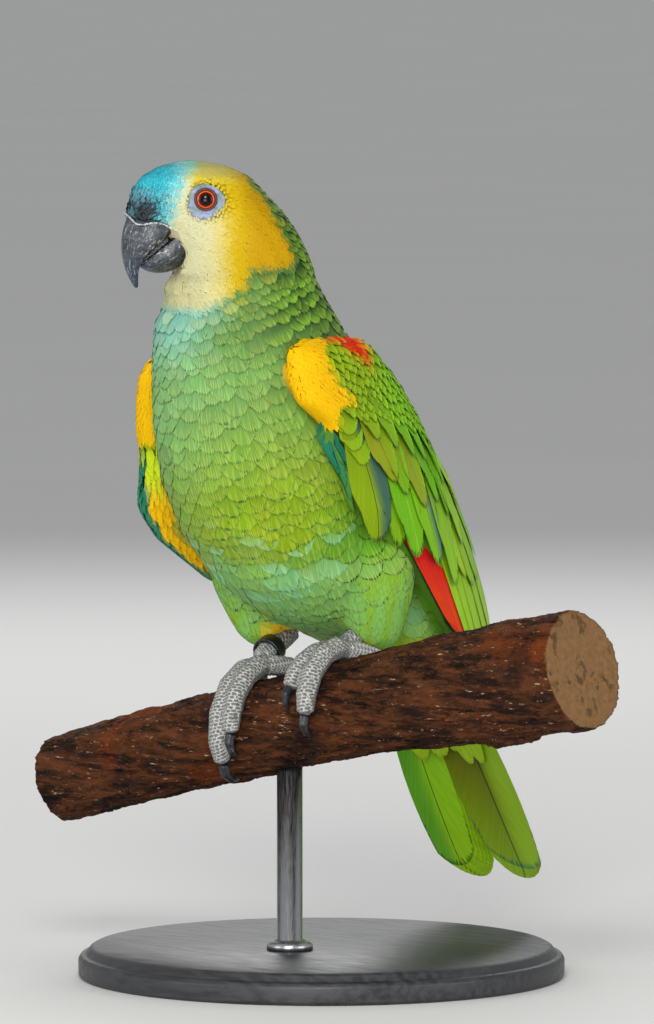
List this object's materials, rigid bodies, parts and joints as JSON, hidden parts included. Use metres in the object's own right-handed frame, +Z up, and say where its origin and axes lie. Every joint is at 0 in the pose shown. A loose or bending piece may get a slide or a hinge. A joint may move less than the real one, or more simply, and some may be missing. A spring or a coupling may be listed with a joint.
{
  "type": "amazon parrot on a perch",
  "caption": "Life-size still model of an amazon parrot gripping a cut length of branch, head turned to its right, on a plain display stand.",
  "frame": {"origin": "centre of the underside of the stand's round base", "axes": "+Z up; the bird's breast faces -Y, its left side is +X, and its head is turned toward -X"},
  "size_m": [0.2655, 0.2186, 0.3196],
  "materials": {
    "plumage_yellow": "soft short face feathers, matte",
    "plumage_green": "overlapping vaned feathers, satin",
    "plumage_tail": "long vaned feathers, satin",
    "bare_skin": "scaled skin of the feet and cere, matte",
    "bill_horn": "bill horn, satin",
    "claw_horn": "claw horn, semi-gloss",
    "eye": "wet gloss",
    "ring_metal": "plain dark closed ring, satin",
    "bark": "rough reddish bark",
    "stand_wood": "dark satin paint",
    "stand_metal": "dark satin paint"
  },
  "bodies": {
    "root": {"head": "plumage_yellow", "neck": "plumage_green", "trunk": "plumage_green", "cere": "bare_skin", "bill_upper": "bill_horn", "bill_lower": "bill_horn", "eye_left": "eye", "eye_right": "eye", "tail": "plumage_tail", "wing_left_shoulder": "plumage_yellow", "wing_left_secondaries": "plumage_green", "wing_left_primaries": "plumage_green", "thigh_left": "plumage_green", "foot_left": "bare_skin", "claw_left_1": "claw_horn", "claw_left_2": "claw_horn", "claw_left_3": "claw_horn", "claw_left_4": "claw_horn", "wing_right_shoulder": "plumage_yellow", "wing_right_secondaries": "plumage_green", "wing_right_primaries": "plumage_green", "thigh_right": "plumage_green", "foot_right": "bare_skin", "claw_right_1": "claw_horn", "claw_right_2": "claw_horn", "claw_right_3": "claw_horn", "claw_right_4": "claw_horn", "leg_ring": "ring_metal", "perch": "bark", "stand_rod": "stand_metal", "stand_base": "stand_wood"}
  },
  "joints": []
}
